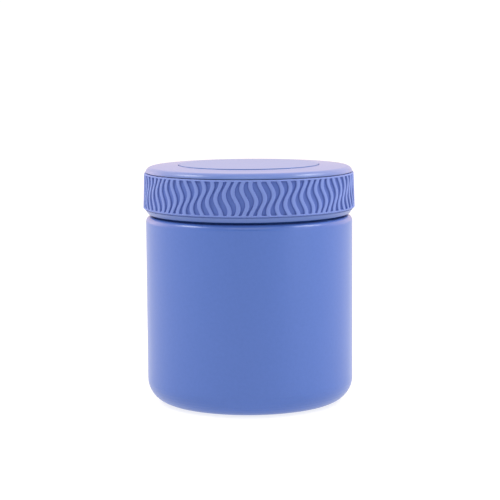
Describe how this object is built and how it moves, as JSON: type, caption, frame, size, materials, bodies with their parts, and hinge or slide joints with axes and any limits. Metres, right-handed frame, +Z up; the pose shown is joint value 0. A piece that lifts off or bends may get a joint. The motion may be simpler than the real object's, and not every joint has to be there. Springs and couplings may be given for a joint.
{
  "type": "insulated food jar",
  "caption": "Wide-mouth vacuum food jar: a round steel body with a rounded shoulder and base, and a flat screw lid with a soft grip band of raised wavy ribs.",
  "frame": {"origin": "middle of the foot, on the surface that the jar stands on", "axes": "+Z up the jar's axis, which is also the lid's axis; the pictured front faces -Y"},
  "size_m": [0.0972, 0.0972, 0.1097],
  "materials": {
    "shell_paint": "satin powder coat",
    "vessel_steel": "brushed",
    "solder_glass": "grey solder glass",
    "getter": "pressed powder",
    "foil": "bright foil",
    "lid_plastic": "satin moulded",
    "grip_rubber": "soft matt",
    "liner_plastic": "satin moulded",
    "foam": "expanded foam",
    "seal_silicone": "matt silicone"
  },
  "bodies": {
    "jar": {"outer_shell": "shell_paint", "outer_base": "shell_paint", "inner_vessel": "vessel_steel", "base_cover": "vessel_steel", "seal_bead": "solder_glass", "getter_clip": "vessel_steel", "getter_pill": "getter", "reflector_foil": "foil"},
    "lid_seal": {"seal_ring": "seal_silicone"},
    "lid": {"lid_collar": "lid_plastic", "grip_band": "grip_rubber", "lid_cap": "lid_plastic", "cap_disc": "lid_plastic", "lid_liner": "liner_plastic", "lid_foam": "foam"}
  },
  "joints": [
    {"name": "lid_rise", "type": "slide", "parent": "jar", "child": "lid_seal", "axis": [0, 0, 1], "range_m": [0, 0.02]},
    {"name": "lid_turn", "type": "hinge", "parent": "lid_seal", "child": "lid", "pos_m": [0, 0, 0.1], "axis": [0, 0, 1], "range_deg": [0, 900]}
  ],
  "couplings": [
    {"joint": "lid_rise", "follows": "lid_turn", "m_per_rad": 0.0012732}
  ]
}
